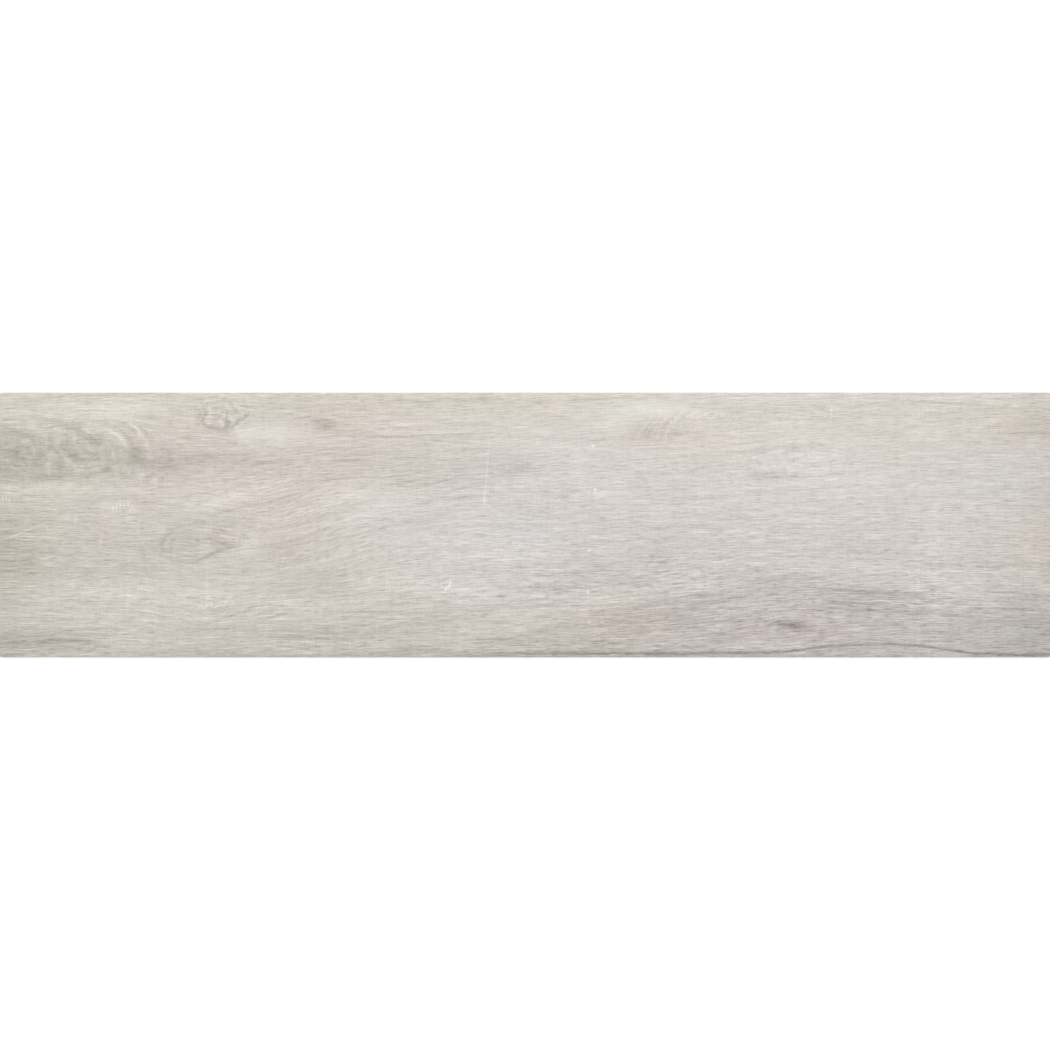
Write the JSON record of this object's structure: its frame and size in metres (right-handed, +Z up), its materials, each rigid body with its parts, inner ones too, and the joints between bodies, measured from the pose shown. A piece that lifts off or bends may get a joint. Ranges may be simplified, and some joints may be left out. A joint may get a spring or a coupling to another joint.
{
  "type": "floor tile",
  "caption": "Long plank-format porcelain floor tile with a pale matt wood-grain face, softened edges and a honeycomb-ribbed back that adhesive keys into.",
  "frame": {"origin": "middle of the back, on the plane that the tile lies on", "axes": "+X along the plank, +Y across it, +Z up out of the wood-grain face"},
  "size_m": [0.802, 0.202, 0.01],
  "materials": {
    "glazed_porcelain": "matte"
  },
  "bodies": {
    "root": {"floor_tile": "glazed_porcelain"}
  },
  "joints": []
}
